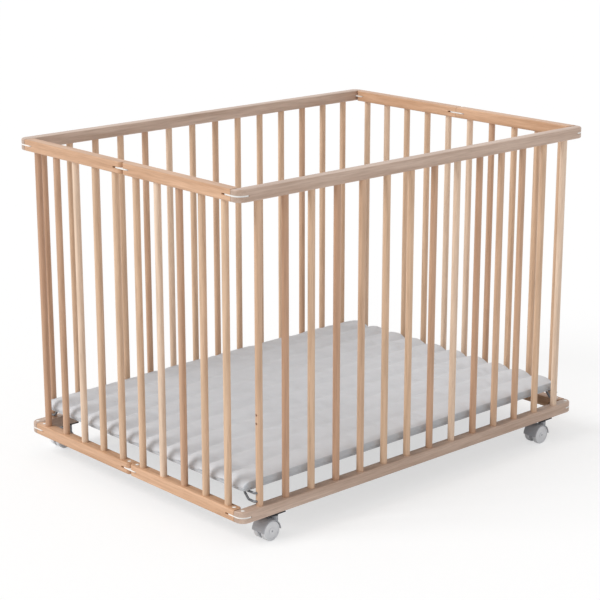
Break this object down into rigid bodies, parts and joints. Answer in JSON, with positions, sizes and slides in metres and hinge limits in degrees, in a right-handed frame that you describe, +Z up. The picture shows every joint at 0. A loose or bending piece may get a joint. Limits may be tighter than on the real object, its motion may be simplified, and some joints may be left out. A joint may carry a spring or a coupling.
{
  "type": "playpen",
  "caption": "Folding wooden playpen of round bars between rails, with hinged short sides, a lift-out quilted floor on wire brackets and swivel casters.",
  "frame": {"origin": "on the ground, under the middle of the open pen", "axes": "+X along the long sides to the right, +Y from the front long side to the back one, +Z up"},
  "size_m": [1.024, 0.7552, 0.73],
  "materials": {
    "beech_rail": "clear satin lacquer on beech",
    "beech_bar": "clear satin lacquer on turned beech",
    "white_plastic": "moulded white nylon, satin",
    "zinc_wire": "bright zinc plated steel wire",
    "zinc_steel": "bright zinc plated steel",
    "dark_steel": "blackened steel plate",
    "hood_plastic": "light grey moulded plastic",
    "wheel_plastic": "light grey moulded plastic, slightly shiny",
    "board": "fibreboard wrapped in grey cover cloth",
    "mat_fabric": "light grey quilted, coated cover cloth"
  },
  "bodies": {
    "back_side": {"back_top_rail": "beech_rail", "back_bottom_rail": "beech_rail", "back_bars": "beech_bar", "back_corner_plates": "white_plastic", "back_plate_pins": "white_plastic", "back_brackets": "zinc_wire", "back_caster_screws": "zinc_steel", "back_left_caster_plate": "dark_steel", "back_right_caster_plate": "dark_steel"},
    "front_side": {"front_top_rail": "beech_rail", "front_bottom_rail": "beech_rail", "front_bars": "beech_bar", "front_corner_plates": "white_plastic", "front_plate_pins": "white_plastic", "front_brackets": "zinc_wire", "front_caster_screws": "zinc_steel", "front_left_caster_plate": "dark_steel", "front_right_caster_plate": "dark_steel"},
    "left_front_half": {"left_front_top_rail": "beech_rail", "left_front_bottom_rail": "beech_rail", "left_front_bars": "beech_bar", "left_front_pins": "white_plastic"},
    "left_back_half": {"left_back_top_rail": "beech_rail", "left_back_bottom_rail": "beech_rail", "left_back_bars": "beech_bar", "left_back_pins": "white_plastic"},
    "left_link": {"left_link_top": "white_plastic", "left_link_bottom": "white_plastic"},
    "right_front_half": {"right_front_top_rail": "beech_rail", "right_front_bottom_rail": "beech_rail", "right_front_bars": "beech_bar", "right_front_pins": "white_plastic"},
    "right_back_half": {"right_back_top_rail": "beech_rail", "right_back_bottom_rail": "beech_rail", "right_back_bars": "beech_bar", "right_back_pins": "white_plastic"},
    "right_link": {"right_link_top": "white_plastic", "right_link_bottom": "white_plastic"},
    "floor": {"floor_board": "board", "floor_mat": "mat_fabric"},
    "front_left_caster": {"front_left_caster_hood": "hood_plastic", "front_left_caster_axle": "zinc_steel"},
    "front_left_near": {"front_left_wheel_near": "wheel_plastic"},
    "front_left_far": {"front_left_wheel_far": "wheel_plastic"},
    "front_right_caster": {"front_right_caster_hood": "hood_plastic", "front_right_caster_axle": "zinc_steel"},
    "front_right_near": {"front_right_wheel_near": "wheel_plastic"},
    "front_right_far": {"front_right_wheel_far": "wheel_plastic"},
    "back_left_caster": {"back_left_caster_hood": "hood_plastic", "back_left_caster_axle": "zinc_steel"},
    "back_left_near": {"back_left_wheel_near": "wheel_plastic"},
    "back_left_far": {"back_left_wheel_far": "wheel_plastic"},
    "back_right_caster": {"back_right_caster_hood": "hood_plastic", "back_right_caster_axle": "zinc_steel"},
    "back_right_near": {"back_right_wheel_near": "wheel_plastic"},
    "back_right_far": {"back_right_wheel_far": "wheel_plastic"}
  },
  "joints": [
    {"name": "fold", "type": "hinge", "parent": "left_link", "child": "left_back_half", "pos_m": [-0.4995, 0.014, 0.4], "axis": [0, 0, 1], "range_deg": [0, 88], "deforming": ["floor_board", "floor_mat"]},
    {"name": "left_back_corner", "type": "hinge", "parent": "left_back_half", "child": "back_side", "pos_m": [-0.4995, 0.333, 0.4], "axis": [0, 0, 1], "range_deg": [-88, 0]},
    {"name": "right_back_corner", "type": "hinge", "parent": "back_side", "child": "right_back_half", "pos_m": [0.4995, 0.333, 0.4], "axis": [0, 0, 1], "range_deg": [-88, 0]},
    {"name": "right_link_back_pin", "type": "hinge", "parent": "right_back_half", "child": "right_link", "pos_m": [0.4995, 0.014, 0.4], "axis": [0, 0, 1], "range_deg": [0, 88]},
    {"name": "left_link_front_pin", "type": "hinge", "parent": "left_link", "child": "left_front_half", "pos_m": [-0.4995, -0.014, 0.4], "axis": [0, 0, 1], "range_deg": [-88, 0]},
    {"name": "left_front_corner", "type": "hinge", "parent": "left_front_half", "child": "front_side", "pos_m": [-0.4995, -0.333, 0.4], "axis": [0, 0, 1], "range_deg": [0, 88]},
    {"name": "right_front_corner", "type": "hinge", "parent": "front_side", "child": "right_front_half", "pos_m": [0.4995, -0.333, 0.4], "axis": [0, 0, 1], "range_deg": [0, 88]},
    {"name": "floor_lift", "type": "slide", "parent": "left_link", "child": "floor", "axis": [0, 0, 1], "range_m": [0, 0.65]},
    {"name": "front_left_swivel", "type": "hinge", "parent": "front_side", "child": "front_left_caster", "pos_m": [-0.417, -0.3595, 0.045], "axis": [0, 0, 1], "continuous": true},
    {"name": "front_left_near_spin", "type": "hinge", "parent": "front_left_caster", "child": "front_left_near", "pos_m": [-0.437, -0.3595, 0.021], "axis": [0, 1, 0], "continuous": true},
    {"name": "front_left_far_spin", "type": "hinge", "parent": "front_left_caster", "child": "front_left_far", "pos_m": [-0.437, -0.3595, 0.021], "axis": [0, 1, 0], "continuous": true},
    {"name": "front_right_swivel", "type": "hinge", "parent": "front_side", "child": "front_right_caster", "pos_m": [0.417, -0.3595, 0.045], "axis": [0, 0, 1], "continuous": true},
    {"name": "front_right_near_spin", "type": "hinge", "parent": "front_right_caster", "child": "front_right_near", "pos_m": [0.397, -0.3595, 0.021], "axis": [0, 1, 0], "continuous": true},
    {"name": "front_right_far_spin", "type": "hinge", "parent": "front_right_caster", "child": "front_right_far", "pos_m": [0.397, -0.3595, 0.021], "axis": [0, 1, 0], "continuous": true},
    {"name": "back_left_swivel", "type": "hinge", "parent": "back_side", "child": "back_left_caster", "pos_m": [-0.417, 0.3595, 0.045], "axis": [0, 0, 1], "continuous": true},
    {"name": "back_left_near_spin", "type": "hinge", "parent": "back_left_caster", "child": "back_left_near", "pos_m": [-0.437, 0.3595, 0.021], "axis": [0, 1, 0], "continuous": true},
    {"name": "back_left_far_spin", "type": "hinge", "parent": "back_left_caster", "child": "back_left_far", "pos_m": [-0.437, 0.3595, 0.021], "axis": [0, 1, 0], "continuous": true},
    {"name": "back_right_swivel", "type": "hinge", "parent": "back_side", "child": "back_right_caster", "pos_m": [0.417, 0.3595, 0.045], "axis": [0, 0, 1], "continuous": true},
    {"name": "back_right_near_spin", "type": "hinge", "parent": "back_right_caster", "child": "back_right_near", "pos_m": [0.397, 0.3595, 0.021], "axis": [0, 1, 0], "continuous": true},
    {"name": "back_right_far_spin", "type": "hinge", "parent": "back_right_caster", "child": "back_right_far", "pos_m": [0.397, 0.3595, 0.021], "axis": [0, 1, 0], "continuous": true}
  ],
  "couplings": [
    {"joint": "left_back_corner", "follows": "fold", "ratio": -1},
    {"joint": "right_back_corner", "follows": "fold", "ratio": -1},
    {"joint": "right_link_back_pin", "follows": "fold", "ratio": 1},
    {"joint": "left_link_front_pin", "follows": "fold", "ratio": -1},
    {"joint": "left_front_corner", "follows": "fold", "ratio": 1},
    {"joint": "right_front_corner", "follows": "fold", "ratio": 1},
    {"joint": "floor_lift", "follows": "fold", "m_per_rad": 0.4232}
  ]
}
